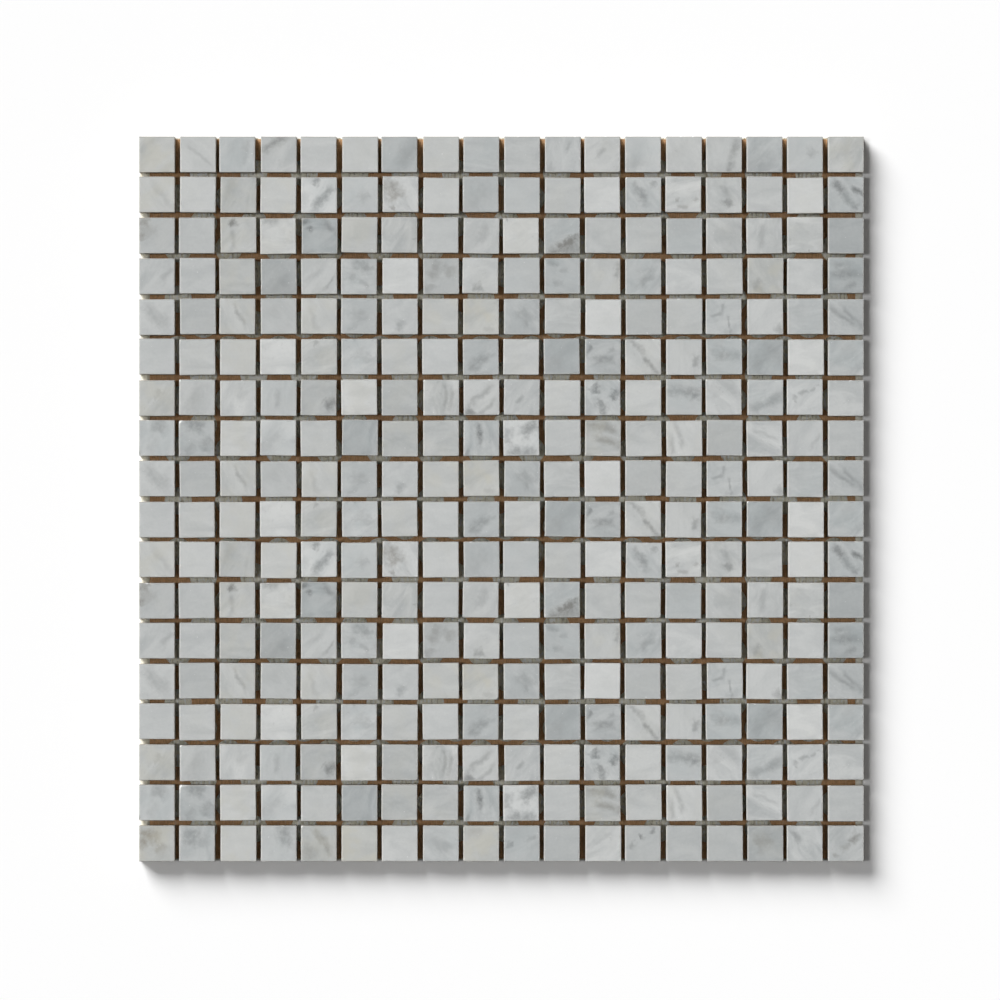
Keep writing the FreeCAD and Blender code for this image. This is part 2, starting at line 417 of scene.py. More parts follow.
def make_glue():
    """Dried glue: a milky film with paler and darker lines from the spreader, partly painted glints and
    painted shade of its ridges.
    """
    look = Shader("glue")
    place = look.object_place()
    lines = look.noise(look.stretch(place, LINE_STRETCH), 1.0, detail=3.0)
    drops = look.noise(look.stretch(place, DROP_STRETCH), 1.0, detail=1.0)
    clouds = look.noise(place, 260.0, detail=3.0)
    colour = look.mix(look.ramp(clouds, 0.3, 0.7), CLOUDY_GLUE, MILKY_GLUE)
    # Pale lines and drops are partly glue threads, partly painted glints; dark ones are partly the glue's
    # own streaks, partly painted shade beside its ridges.
    colour = look.mix(look.ramp(lines, 0.53, 0.64, 0.0, 0.8), colour, PALE_LINE_AND_GLINT)
    colour = look.mix(look.ramp(lines, 0.46, 0.36, 0.0, 0.55), colour, DARK_LINE_AND_SHADE)
    colour = look.mix(look.ramp(drops, 0.54, 0.62), colour, PALE_DROP_AND_GLINT)
    colour = look.mix(look.ramp(drops, 0.40, 0.30, 0.0, 0.45), colour, DARK_DROP_AND_SHADE)
    # Painted light: the left and right strips are pulled towards a paler, plainer glue; the lower and
    # upper ones keep their darker streaks as painted shade.
    colour = look.mix(look.times(look.attribute("outside"), 0.6), colour, LIT_OUTER_GLUE)
    look.give("Base Color", colour)
    look.give("Roughness", look.ramp(clouds, 0.3, 0.7, 0.28, 0.5))
    look.bump(lines, strength=0.5, distance=0.0002)
    return look.material


FLOOR_COLOUR = (0.96, 0.96, 0.96)
FLOOR_GLOW = 0.03


def make_floor_material():
    """A white floor that keeps the shadow, and that the camera sees a little brighter."""
    look = Shader("floor")
    look.give("Roughness", 0.95)
    look.give("Specular IOR Level", 0.0)
    look.give("Base Color", FLOOR_COLOUR)
    look.give("Emission Color", (1.0, 1.0, 1.0))
    path = look.nodes.new("ShaderNodeLightPath")
    glow = look.times(path.outputs["Is Camera Ray"], FLOOR_GLOW)
    look.give("Emission Strength", glow)
    return look.material


# The chips

# Distances from a chip's edge at which its mesh has lines, finest at the arris.
EDGE_LINES = np.array([0.0, 0.1, 0.25, 0.6, 1.2])
# Places of two groups of lines along a side, where the arris may be broken, and their spread.
GROUP_RANGES = ((2.4, 6.3), (8.7, 12.6))
GROUP_SPREAD = np.array([-1.0, -0.35, 0.35, 1.0])
GROUP_SPREAD_RANGE = (0.35, 0.85)
# Heights of the mesh's lines as shares of the thickness.
HEIGHT_SHARES = np.array([0.0, 0.012, 0.05, 0.35, 0.75, 0.92, 0.965, 0.987, 1.0])

# The rounding of the arrises and how it varies along them, the width of their wear and of the painted
# shade on them, and how far a chip's face may lie below the highest one.
ARRIS_RADIUS = 0.24
ARRIS_VARIATION = 0.45
ARRIS_NOISE = 0.35
ARRIS_WIDTH = 0.5
LOWEST_TOP = 0.12

# Small bites out of the upper arrises and corners: how often one is there, how large it is, how
# far its middle lies out from the stone and up from the face, and how rough it is.
SIDE_BREAK_CHANCE = 0.16
SIDE_BREAK_SHARES = (0.55, 1.0)
SIDE_BREAK_OUT = (0.45, 0.75)
SIDE_BREAK_RISE = 0.5
CORNER_BREAK_CHANCE = 0.10
CORNER_BREAK_RADII = (0.7, 1.3)
CORNER_BREAK_OUT = 0.35
CORNER_BREAK_RISE = 0.4
BREAK_ROUGHNESS = 0.22
BREAK_NOISE = 2.3
NOISE_SEEDS = 90


def chip_topology(count, levels):
    """Grid places and faces of a box's shell: a lined top, four lined sides and a plain base."""
    index = {}
    last, top = count - 1, levels - 1
    for k in range(levels):
        for i in range(count):
            for j in range(count):
                if k == top or i in (0, last) or j in (0, last):
                    index[i, j, k] = len(index)
    faces = []
    for i in range(last):
        for j in range(last):
            corners = ((i, j), (i + 1, j), (i + 1, j + 1), (i, j + 1))
            faces.append(tuple(index[a, b, top] for a, b in corners))
    ring = [(i, 0) for i in range(last)] + [(last, j) for j in range(last)]
    ring += [(i, last) for i in range(last, 0, -1)] + [(0, j) for j in range(last, 0, -1)]
    for here, there in zip(ring, ring[1:] + ring[:1]):
        for k in range(top):
            corners = ((*here, k), (*there, k), (*there, k + 1), (*here, k + 1))
            faces.append(tuple(index[corner] for corner in corners))
    faces.append(tuple(index[i, j, 0] for i, j in reversed(ring)))
    return np.array(list(index)), faces


LINE_COUNT = 2 * len(EDGE_LINES) + 2 * len(GROUP_SPREAD)
GRID, CHIP_FACES = chip_topology(LINE_COUNT, len(HEIGHT_SHARES))


def chip_places(node):
    """Centre, turn, side, lower face and upper face of each chip in a row, from left to right."""
    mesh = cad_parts[node].data
    places = np.array([vertex.co for vertex in mesh.vertices]) / MM
    places = places[np.argsort(places[:, 0])]
    found = []
    for chip in places.reshape(CHIPS_IN_ROW, -1, 3):
        corners = np.unique(np.round(chip[:, :2], 4), axis=0)
        centre = corners.mean(axis=0)
        lower = corners[corners[:, 1] < centre[1]]
        left, right = lower[np.argsort(lower[:, 0])][[0, -1]]
        run = right - left
        turn = math.atan2(run[1], run[0])
        found.append((centre, turn, np.hypot(*run), chip[:, 2].min(), chip[:, 2].max()))
    return found


def line_places(side, groups, spread):
    """Where the mesh's lines cross one side of a chip, from -side/2 to side/2."""
    inner = np.concatenate([group + GROUP_SPREAD * spread for group in groups])
    lines = np.concatenate([EDGE_LINES, np.sort(inner), side - EDGE_LINES[::-1]])
    return lines - side / 2


def plain_block(half, groups_x, groups_y, spread):
    """The mesh's places on a plain block about the origin, before its edges are worn."""
    lines_x = line_places(2 * half[0], groups_x, spread)
    lines_y = line_places(2 * half[1], groups_y, spread)
    heights = (HEIGHT_SHARES - 0.5) * 2 * half[2]
    return np.stack([lines_x[GRID[:, 0]], lines_y[GRID[:, 1]], heights[GRID[:, 2]]], axis=1)


def round_arrises(places, half, random):
    """Draw the box's edges in to a small radius that varies along them."""
    variation = smooth_noise(places * ARRIS_NOISE, random.uniform(0, NOISE_SEEDS))
    radius = ARRIS_RADIUS * (1.0 + ARRIS_VARIATION * variation)[:, None]
    inner = np.clip(places, -half + radius, half - radius)
    out = places - inner
    length = np.linalg.norm(out, axis=1, keepdims=True)
    moved = inner + out * radius / np.maximum(length, 1e-9)
    return np.where(length > radius, moved, places)


def break_arrises(places, breaks, random):
    """Scoop each break, a round bite out of the arris, and say which places it moved."""
    broken = np.zeros(len(places))
    for centre, radius in breaks:
        away = places - centre
        distance = np.linalg.norm(away, axis=1)
        variation = smooth_noise(places * BREAK_NOISE / radius, random.uniform(0, NOISE_SEEDS))
        rough = radius * (1.0 + BREAK_ROUGHNESS * variation)
        inside = distance < rough
        places[inside] = centre + away[inside] * (rough / np.maximum(distance, 1e-6))[inside, None]
        broken = np.maximum(broken, inside)
    return broken


def side_breaks(half, groups_x, groups_y, spread, random):
    """Now and then a small bite in an upper arris, where the mesh has a group of lines."""
    breaks = []
    sites = [(group - half[0], side * half[1]) for group in groups_x for side in (-1, 1)]
    sites += [(side * half[0], group - half[1]) for group in groups_y for side in (-1, 1)]
    for x, y in sites:
        if random.random() < SIDE_BREAK_CHANCE:
            radius = spread * random.uniform(*SIDE_BREAK_SHARES)
            out = random.uniform(*SIDE_BREAK_OUT) * radius
            shift_x = out * np.sign(x) if abs(x) == half[0] else 0.0
            shift_y = out * np.sign(y) if abs(y) == half[1] else 0.0
            middle = (x + shift_x, y + shift_y, half[2] + out * SIDE_BREAK_RISE)
            breaks.append((np.array(middle), radius))
    return breaks


def corner_breaks(half, random):
    """Now and then a small bite at an upper corner."""
    breaks = []
    for sign_x, sign_y in ((-1, -1), (-1, 1), (1, -1), (1, 1)):
        if random.random() < CORNER_BREAK_CHANCE:
            radius = random.uniform(*CORNER_BREAK_RADII)
            out = CORNER_BREAK_OUT * radius
            rise = CORNER_BREAK_RISE * out
            middle = (sign_x * (half[0] + out), sign_y * (half[1] + out), half[2] + rise)
            breaks.append((np.array(middle), radius))
    return breaks


def chips_at(columns):
    """The strip and column of each chip, from the columns noted for each strip."""
    return {(strip, column) for strip, found in columns.items() for column in found}


# How single chips look, by strip and column, as the photograph shows them: their tones from dark
# to light, those without clouds or marks, and those that look stained, sandy or bluish.
GREY_CHIPS = chips_at({3: [5, 18], 4: [4, 18], 6: [11, 16], 8: [6], 9: [16]})
DIM_CHIPS = chips_at({
    1: [7, 16], 2: [3, 9, 18], 3: [1, 11, 14], 4: [3, 8, 11, 13, 16], 5: [2, 6, 10, 13, 18],
    6: [9, 12, 15, 18], 7: [1, 5, 7], 8: [2, 7, 9, 12, 15], 9: [1, 2, 5, 10, 11, 13, 14, 15, 18],
})
LIGHT_CHIPS = chips_at({
    1: [2, 5, 6, 8, 12, 13, 14], 2: [1, 2, 4, 7, 8, 14], 3: [4, 17], 4: [9, 14, 17], 5: [1, 5, 16],
    6: [3, 8, 10, 13], 7: [3, 9, 11, 13, 15, 17], 8: [3, 4, 14], 9: [3, 7, 12],
})
WHITE_CHIPS = chips_at({2: [5, 12, 17], 3: [10], 4: [7], 5: [12], 6: [4, 17], 7: [6], 8: [10]})
TONES = ((GREY_CHIPS, 0.16), (DIM_CHIPS, 0.39), (LIGHT_CHIPS, 0.68), (WHITE_CHIPS, 0.86))
USUAL_TONE = 0.54
PLAIN_CHIPS = chips_at({
    1: [5, 6, 8, 9, 10], 2: [2, 4, 8, 10, 11, 12, 16, 17], 3: [2, 6, 8, 12, 13, 14, 18],
    4: [2, 3, 7, 10, 14, 15, 17], 5: [2, 8, 11, 12, 13, 14, 17], 6: [1, 2, 3, 4, 7, 8, 10, 17],
    7: [6, 7, 11, 13, 18], 8: [3, 5, 7, 8, 11, 13, 15, 18], 9: [3, 6, 7, 11, 14, 15],
})
WARM_CHIPS = chips_at({1: [1], 4: [16], 5: [9], 9: [1, 6, 9]})
SANDY_CHIPS = chips_at({
    1: [18], 2: [1, 3, 4], 3: [3, 4, 6], 4: [3], 5: [3, 5, 8], 6: [3, 5], 7: [1, 6], 8: [3, 7, 12],
    9: [3, 5],
})
BLUISH_CHIPS = chips_at({
    1: [3, 7, 9, 13, 16, 17], 2: [5, 6, 9, 10, 13, 18], 3: [5, 11, 14], 4: [6, 10, 11, 13, 18],
    5: [6, 10, 15, 17], 6: [6, 9, 11, 12, 15, 16, 18], 7: [4, 12, 14, 16], 8: [1, 2, 4, 6, 9, 10],
    9: [2, 4, 8, 10],
})
TINTS = ((WARM_CHIPS, 0.55), (SANDY_CHIPS, 0.27), (BLUISH_CHIPS, -0.24))
USUAL_TINT = 0.05
STAINED_CHIPS = {(2, 7): 0.6, (2, 14): 0.3, (3, 1): 0.5, (3, 11): 0.35, (4, 8): 0.3, (8, 12): 0.4,
                 (9, 1): 0.9, (9, 5): 0.4, (9, 9): 1.0, (9, 16): 0.4, (9, 18): 0.4}
BROKEN_CORNERS = {(8, 1): (-1, -1), (8, 2): (-1, 1)}
# Veins, streaks and smudges as the photograph shows them. Each is a soft dark mark: its middle from
# the chip's left and top edges as shares of the side, its angle from the rows in degrees, its half
# width and half length in millimetres, and its darkness.
MARKS = {
    (1, 1): [(0.25, 0.25, 45, 1.4, 5.0, 0.22)],
    (1, 2): [(0.6, 0.55, -42, 0.5, 7.0, 0.26)],
    (1, 3): [(0.7, 0.45, 84, 1.1, 5.5, 0.36)],
    (1, 4): [(0.35, 0.2, 30, 1.4, 6.5, 0.65)],
    (1, 7): [(0.78, 0.45, 50, 2.4, 8.0, 0.34)],
    (1, 11): [(0.65, 0.3, 86, 0.6, 2.5, 0.35), (0.15, 0.85, 40, 1.2, 2.0, 0.3)],
    (1, 12): [(0.42, 0.4, 38, 0.8, 3.0, 0.45)],
    (1, 15): [(0.8, 0.35, 72, 1.2, 5.0, 0.55), (0.68, 0.85, 75, 1.0, 2.5, 0.55)],
    (1, 17): [(0.7, 0.45, 45, 1.4, 2.0, 0.35)],
    (2, 1): [(0.65, 0.5, -50, 0.9, 6.0, 0.26)],
    (2, 5): [(0.6, 0.6, 50, 1.1, 6.5, 0.7), (0.42, 0.08, 40, 1.1, 1.8, 0.7)],
    (2, 6): [(0.6, 0.55, 30, 1.4, 2.5, 0.32)],
    (2, 7): [(0.3, 0.38, -55, 2.6, 4.8, 0.62), (0.32, 0.92, 30, 0.8, 0.9, 0.5)],
    (2, 13): [(0.42, 0.45, -53, 1.4, 5.5, 0.65), (0.75, 0.2, 30, 1.0, 1.5, 0.45)],
    (2, 14): [(0.33, 0.66, 20, 0.8, 1.2, 0.5), (0.85, 0.64, 60, 0.7, 1.4, 0.45),
              (0.52, 0.9, 5, 0.7, 2.2, 0.45)],
    (2, 15): [(0.6, 0.74, -60, 1.2, 2.2, 0.62), (0.54, 0.42, -70, 0.9, 2.8, 0.35)],
    (2, 18): [(0.36, 0.36, -50, 1.5, 5.5, 0.8), (0.66, 0.74, -50, 1.3, 3.2, 0.7),
              (0.86, 0.42, -42, 0.7, 2.6, 1)],
    (3, 1): [(0.12, 0.1, 30, 1.8, 3.0, 0.6), (0.03, 0.5, 80, 1.2, 1.6, 0.6),
             (0.25, 0.35, 60, 2.5, 3.5, 0.32)],
    (3, 3): [(0.34, 0.1, 40, 1.3, 2.2, 0.95), (0.34, 0.62, 88, 0.8, 4.5, 0.38)],
    (3, 4): [(0.32, 0.05, -6, 0.9, 4.0, 0.48)],
    (3, 5): [(0.1, 0.04, 20, 1.0, 2.2, 0.95), (0.2, 0.28, 60, 1.1, 1.2, 0.85),
             (0.75, 0.25, -42, 1.1, 4.0, 0.65)],
    (3, 7): [(0.9, 0.65, 60, 0.6, 0.8, 0.4)],
    (3, 9): [(0.55, 0.45, 62, 1.3, 5.0, 0.32)],
    (3, 10): [(0.12, 0.05, 20, 0.6, 0.7, 0.55)],
    (3, 11): [(0.78, 0.66, 33, 1.5, 6.0, 1.0), (0.36, 0.9, 30, 1.5, 4.0, 0.85),
              (0.85, 0.92, 30, 2.4, 4.0, 0.72)],
    (3, 16): [(0.42, 0.5, 82, 0.8, 5.5, 0.27)],
    (3, 17): [(0.65, 0.95, 0, 0.5, 0.6, 0.6)],
    (4, 1): [(0.78, 0.45, 55, 1.0, 4.0, 0.3)],
    (4, 5): [(0.78, 0.68, 52, 0.5, 4.0, 0.45), (0.35, 0.45, 50, 0.8, 4.0, 0.2)],
    (4, 6): [(0.6, 0.2, -10, 1.6, 3.8, 0.6), (0.28, 0.55, 45, 1.4, 2.5, 0.42),
             (0.62, 0.72, -35, 0.9, 3.0, 0.35)],
    (4, 8): [(0.3, 0.3, 60, 1.9, 4.0, 0.44), (0.75, 0.35, 80, 1.4, 3.0, 0.4),
             (0.15, 0.85, 60, 1.5, 2.5, 0.4)],
    (4, 9): [(0.4, 0.85, 20, 1.3, 2.0, 0.55)],
    (4, 11): [(0.25, 0.15, -20, 0.8, 2.5, 0.6), (0.35, 0.7, 40, 1.0, 2.0, 0.4),
              (0.6, 0.3, 20, 0.8, 1.5, 0.35)],
    (4, 12): [(0.93, 0.35, 80, 0.9, 3.8, 0.5)],
    (4, 13): [(0.58, 0.58, 42, 1.6, 5.0, 0.5)],
    (4, 16): [(0.22, 0.78, -62, 1.3, 3.2, 0.55)],
    (4, 18): [(0.5, 0.5, 0, 1.5, 8.0, 0.6), (0.4, 0.22, -5, 1.0, 5.0, 0.45),
              (0.65, 0.82, 5, 1.0, 2.5, 0.5)],
    (5, 1): [(0.5, 0.5, -42, 1.8, 7.0, 0.32)],
    (5, 3): [(0.6, 0.5, -63, 0.7, 6.0, 0.5)],
    (5, 5): [(0.35, 0.6, -68, 0.7, 5.5, 0.24)],
    (5, 6): [(0.45, 0.45, 12, 1.4, 4.0, 0.35), (0.3, 0.8, 25, 0.6, 3.0, 0.3)],
    (5, 7): [(0.52, 0.68, 28, 1.3, 2.4, 0.45)],
    (5, 9): [(0.75, 0.85, 20, 1.5, 2.0, 0.3)],
    (5, 10): [(0.6, 0.5, -50, 1.6, 4.0, 0.42)],
    (5, 15): [(0.28, 0.44, 10, 0.5, 2.8, 0.5), (0.48, 0.24, 78, 0.5, 2.8, 0.5),
              (0.65, 0.68, -88, 0.5, 3.4, 0.48)],
    (5, 16): [(0.95, 0.9, 45, 2.0, 2.0, 0.55)],
    (5, 18): [(0.38, 0.45, -45, 0.7, 8.0, 0.46), (0.68, 0.52, -50, 0.7, 7.0, 0.42)],
    (6, 5): [(0.4, 0.16, 30, 0.8, 1.6, 0.45)],
    (6, 6): [(0.3, 0.05, 30, 0.8, 1.0, 0.7), (0.6, 0.5, 40, 2.5, 3.0, 0.28)],
    (6, 9): [(0.45, 0.65, 33, 1.3, 6.0, 0.65)],
    (6, 11): [(0.5, 0.5, 45, 2.4, 8.0, 0.32)],
    (6, 12): [(0.5, 0.6, 5, 1.1, 5.0, 0.6), (0.1, 0.3, 60, 0.9, 1.8, 0.65),
              (0.75, 0.3, 30, 1.0, 2.0, 0.35)],
    (6, 13): [(0.35, 0.25, -48, 0.8, 4.5, 0.5), (0.72, 0.76, -57, 1.0, 4.0, 0.65)],
    (6, 14): [(0.8, 0.6, 88, 1.0, 3.0, 0.5)],
    (6, 15): [(0.58, 0.46, -12, 1.8, 6.5, 0.55)],
    (6, 16): [(0.5, 0.5, 40, 2.5, 8.0, 0.34)],
    (6, 18): [(0.5, 0.4, 30, 2.2, 6.0, 0.2)],
    (7, 1): [(0.55, 0.4, 45, 1.3, 2.0, 0.4)],
    (7, 4): [(0.5, 0.5, 85, 0.7, 5.0, 0.32)],
    (7, 5): [(0.85, 0.64, 25, 1.6, 2.8, 0.8)],
    (7, 8): [(0.6, 0.45, 86, 0.6, 5.0, 0.45), (0.74, 0.55, 84, 0.6, 5.0, 0.4)],
    (7, 9): [(0.5, 0.45, 38, 0.9, 7.0, 0.45), (0.62, 0.8, 38, 0.6, 5.0, 0.36),
             (0.18, 0.92, 40, 1.3, 2.2, 0.75)],
    (7, 10): [(0.42, 0.52, 52, 0.6, 2.8, 0.4)],
    (7, 12): [(0.3, 0.28, -60, 1.6, 2.4, 0.9), (0.82, 0.42, 72, 1.4, 2.2, 0.9),
              (0.5, 0.76, -72, 1.5, 3.8, 0.75)],
    (7, 14): [(0.5, 0.36, -10, 1.7, 9.0, 0.62), (0.8, 0.46, -30, 0.7, 1.8, 0.45)],
    (7, 16): [(0.55, 0.65, 22, 1.4, 8.0, 0.52)],
    (7, 17): [(0.5, 0.35, 40, 0.7, 2.2, 0.5), (0.28, 0.55, 80, 0.8, 1.8, 0.48),
              (0.76, 0.24, 20, 0.6, 1.2, 0.45)],
    (8, 1): [(0.6, 0.18, 70, 2.2, 3.5, 0.5), (0.35, 0.75, 65, 1.4, 3.0, 0.25)],
    (8, 2): [(0.45, 0.12, -12, 1.9, 4.2, 0.6), (0.84, 0.68, 60, 2.0, 3.2, 0.55),
             (0.3, 0.82, 50, 1.3, 2.4, 0.4)],
    (8, 9): [(0.44, 0.36, -86, 0.9, 5.0, 1.0), (0.15, 0.92, 20, 1.0, 1.8, 0.5)],
    (8, 10): [(0.72, 0.24, 25, 1.8, 4.8, 0.7), (0.5, 0.86, -12, 1.6, 6.0, 0.7),
              (0.12, 0.45, 75, 1.2, 4.0, 0.5)],
    (8, 12): [(0.45, 0.2, -12, 1.4, 6.5, 0.6), (0.62, 0.62, -14, 1.1, 6.0, 0.6)],
    (8, 14): [(0.38, 0.4, -72, 0.8, 5.5, 0.36), (0.18, 0.7, -75, 0.8, 4.5, 0.38)],
    (8, 16): [(0.5, 0.4, -28, 0.5, 6.0, 0.24)],
    (8, 17): [(0.8, 0.6, 60, 0.6, 4.0, 0.3)],
    (9, 1): [(0.36, 0.25, 15, 2.1, 4.2, 0.85), (0.12, 0.52, 60, 1.4, 2.4, 0.7),
             (0.62, 0.55, 40, 1.5, 3.2, 0.5)],
    (9, 2): [(0.36, 0.32, -82, 2.1, 4.4, 0.6), (0.68, 0.45, 60, 1.7, 3.2, 0.32)],
    (9, 4): [(0.68, 0.34, -86, 2.2, 4.6, 0.6)],
    (9, 5): [(0.62, 0.42, -60, 1.0, 6.5, 0.68), (0.2, 0.75, 60, 2.0, 3.5, 0.45)],
    (9, 8): [(0.45, 0.5, -32, 1.6, 7.0, 0.28)],
    (9, 9): [(0.35, 0.2, 20, 1.5, 3.0, 0.3)],
    (9, 10): [(0.12, 0.5, 15, 0.9, 1.2, 0.65), (0.75, 0.38, 15, 0.8, 2.5, 0.42)],
    (9, 13): [(0.4, 0.3, 45, 0.9, 1.0, 0.75), (0.78, 0.15, 60, 0.8, 0.9, 0.65),
              (0.22, 0.55, 60, 0.9, 1.5, 0.42)],
    (9, 16): [(0.45, 0.45, 20, 2.8, 4.0, 0.45)],
    (9, 17): [(0.25, 0.3, -55, 0.8, 3.0, 0.5)],
    (9, 18): [(0.72, 0.34, 48, 1.2, 3.0, 0.7), (0.45, 0.6, 38, 0.9, 2.0, 0.5),
              (0.2, 0.84, 30, 0.8, 1.4, 0.45)],
}
# How dark and how wide the marks are drawn, as shares of what is noted, and how far they may
# slant into the stone.
MARK_STRENGTH = 0.92
MARK_SPREAD = 1.3
MARK_SLANT = 0.3
NO_MARK = (0.5, 0.5, 0.0, 1.0, 1.0, 0.0)

# Faint streaks, for chips with no marks noted: their angles, and the ranges of their middles, half
# widths, half lengths and darkness.
FAINT_ANGLES = (-50, 40, 50, 65)
FAINT_ANGLE_STRAY = 12
FAINT_PLACES = (0.2, 0.8)
FAINT_SIZES = ((0.8, 2.6), (3.0, 8.0), (0.0, 0.26))

# How strong a chip's clouds are, and how far its looks may stray from what is noted.
USUAL_BUSYNESS = 0.5
MOST_BUSYNESS = 0.85
PLAIN_BUSYNESS = 0.65
BUSYNESS_STRAY = 0.35
TONE_STRAY = 0.05
TINT_STRAY = 0.05

# How far off in the same block of stone a chip may be cut, and the size of a corner broken off.
STONE_REACH = 400
LARGE_BREAK_RADIUS = 1.5
LARGE_BREAK_OUT = 0.3


def faint_marks(random):
    """Two broad faint streaks for a chip with nothing of its own to show."""
    marks = []
    for _ in range(2):
        angle = random.choice(FAINT_ANGLES) + random.normal(0, FAINT_ANGLE_STRAY)
        middle = [random.uniform(*FAINT_PLACES) for _ in range(2)]
        sizes = [random.uniform(*span) for span in FAINT_SIZES]
        marks.append((*middle, angle, *sizes))
    return marks


def noted(key, groups, usual):
    """The value of the group of chips that a chip is noted in, or else the usual one."""
    return next((value for chips, value in groups if key in chips), usual)


def chip_looks(strip, column, random):
    """Tone, busyness, tint and marks of a chip: as noted, and a little by chance."""
    key = (strip, column)
    tone = noted(key, TONES, USUAL_TONE) + random.uniform(-TONE_STRAY, TONE_STRAY)
    busy = min(USUAL_BUSYNESS * math.exp(random.normal(0, BUSYNESS_STRAY)), MOST_BUSYNESS)
    tint = noted(key, TINTS, USUAL_TINT) + random.normal(0, TINT_STRAY)
    marks = MARKS.get(key) or faint_marks(random)
    if key in PLAIN_CHIPS:
        busy *= PLAIN_BUSYNESS
        marks = []
    looks = {"tone": tone, "busy": busy, "warmth": max(tint, 0.0), "coolness": max(-tint, 0.0),
             "stain": STAINED_CHIPS.get(key, 0.0)}
    return looks, (marks + [NO_MARK] * MARKS_PER_CHIP)[:MARKS_PER_CHIP]


def large_breaks(strip, column, half):
    """The corner that a chip is noted to have lost, if it has."""
    if (strip, column) not in BROKEN_CORNERS:
        return []
    sign_x, sign_y = BROKEN_CORNERS[strip, column]
    out = (LARGE_BREAK_OUT * sign_x, LARGE_BREAK_OUT * sign_y, LARGE_BREAK_OUT)
    return [(half * (sign_x, sign_y, 1) + out, LARGE_BREAK_RADIUS)]


def directions(angle, slant=0.0):
    """Directions along and across an angle from the rows, the second one at a slant."""
    slope = math.radians(angle)
    run = np.array([math.cos(slope), math.sin(slope), 0.0])
    return run, np.array([-math.sin(slope), math.cos(slope), slant])


def mark_values(marks, flat, half, random):
    """Where each place of a chip lies along and across its marks, and the marks' sizes."""
    values = {}
    for number, (right, down, angle, width, length, depth) in enumerate(marks, start=1):
        run, across = directions(angle, random.uniform(-MARK_SLANT, MARK_SLANT))
        middle = np.array([(2 * right - 1) * half[0], (1 - 2 * down) * half[1], half[2]])
        away = flat - middle
        values[f"mark_{number}_place"] = np.column_stack([away @ across, away @ run, 0 * flat[:, 0]])
        depth = min(1.0, depth * MARK_STRENGTH)
        values[f"mark_{number}_size"] = np.tile([width * MARK_SPREAD, length, depth], (len(flat), 1))
    return values


def edge_values(flat, half):
    """Wear along the upper arrises, partly a painted glow, and painted shade in its place on the arris
    towards the top of the sheet.
    """
    to_edge = np.sort(half - np.abs(flat), axis=1)[:, 1]
    upper = flat[:, 2] > half[2] * 0.5
    arris = np.where(upper, np.clip(1.0 - to_edge / ARRIS_WIDTH, 0.0, 1.0), 0.0)
    # Painted shade: the arris towards the top of the sheet is darkened instead of worn.
    top_arris_shade = arris * (flat[:, 1] > half[1] - ARRIS_WIDTH)
    return {"arris": arris - top_arris_shade, "top_arris_shade": top_arris_shade}


def in_stone(places, angle):
    """Places along, across and up through the stone, whose clouds run at an angle."""
    run, across = directions(angle)
    return places @ np.stack([run, across, np.array([0.0, 0.0, 1.0])]).T


def in_sheet(places, turn, centre, half_height, low):
    """A chip's places turned and moved to where it lies in the sheet."""
    cosine, sine = math.cos(turn), math.sin(turn)
    return np.stack([cosine * places[:, 0] - sine * places[:, 1] + centre[0],
                     sine * places[:, 0] + cosine * places[:, 1] + centre[1],
                     places[:, 2] + half_height + low], axis=1)


def chip_shape(strip, column, half, random):
    """Places of a chip about the origin, as sawn and as worn, and which of them are broken."""
    spread = random.uniform(*GROUP_SPREAD_RANGE)
    groups_x = [random.uniform(*span) for span in GROUP_RANGES]
    groups_y = [random.uniform(*span) for span in GROUP_RANGES]
    flat = plain_block(half, groups_x, groups_y, spread)
    shaped = round_arrises(flat, half, random)
    breaks = side_breaks(half, groups_x, groups_y, spread, random)
    breaks += corner_breaks(half, random)
    breaks += large_breaks(strip, column, half)
    return flat, shaped, break_arrises(shaped, breaks, random)


def make_chip(place, strip, column, row_random):
    """Places of one chip's mesh, and the values that its material reads."""
    centre, turn, side, low, high = place
    random = np.random.default_rng(1000 * strip + column)
    values, marks = chip_looks(strip, column, random)
    top = high - row_random.uniform(0, LOWEST_TOP)
    half = np.array([side / 2, side / 2, (top - low) / 2])
    flat, shaped, broken = chip_shape(strip, column, half, row_random)
    values = {label: np.full(len(shaped), value) for label, value in values.items()}
    values.update(mark_values(marks, flat, half, random))
    values["stone"] = in_stone(shaped, marks[0][2]) + random.uniform(-STONE_REACH, STONE_REACH, 3)
    values["polish"] = (GRID[:, 2] == len(HEIGHT_SHARES) - 1).astype(float)
    values["height"] = HEIGHT_SHARES[GRID[:, 2]]
    values.update(edge_values(flat, half))
    values["broken"] = broken
    return in_sheet(shaped, turn, centre, half[2], low), values


def make_row(number, node, material):
    """One row of chips as a mesh of separate stones, in place of the plain ones."""
    row_random = np.random.default_rng(number)
    strip = STRIPS[number - 1]
    chips = [make_chip(place, strip, column, row_random)
             for column, place in enumerate(chip_places(node), start=1)]
    places, faces = join([(places, CHIP_FACES) for places, _ in chips])
    labels = chips[0][1]
    attributes = {label: np.concatenate([values[label] for _, values in chips]) for label in labels}
    row = new_object(f"marble_row_{number:02d}", places, faces, attributes, material)
    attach(row, "root")
    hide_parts(node)


# The paper web and the glue

# The sides of a hole's outline, how far the other places of the mesh stay from it, and the
# tolerances for telling hole from paper and for joining places into triangles.
HOLE_SIDES = 28
HOLE_CLEARANCE = 0.1
HOLE_TOLERANCE = 1e-4
TRIANGLE_TOLERANCE = 1e-5

# Lines along each joint, as shares of half its width, where the paper's mesh has places, how far
# apart those places are and how far from the web's edges they stay.
JOINT_LINES = (-1.0, -0.5, 0.0, 0.5, 1.0)
JOINT_POINT_STEP = 3.4
JOINT_POINT_INSET = 1.0

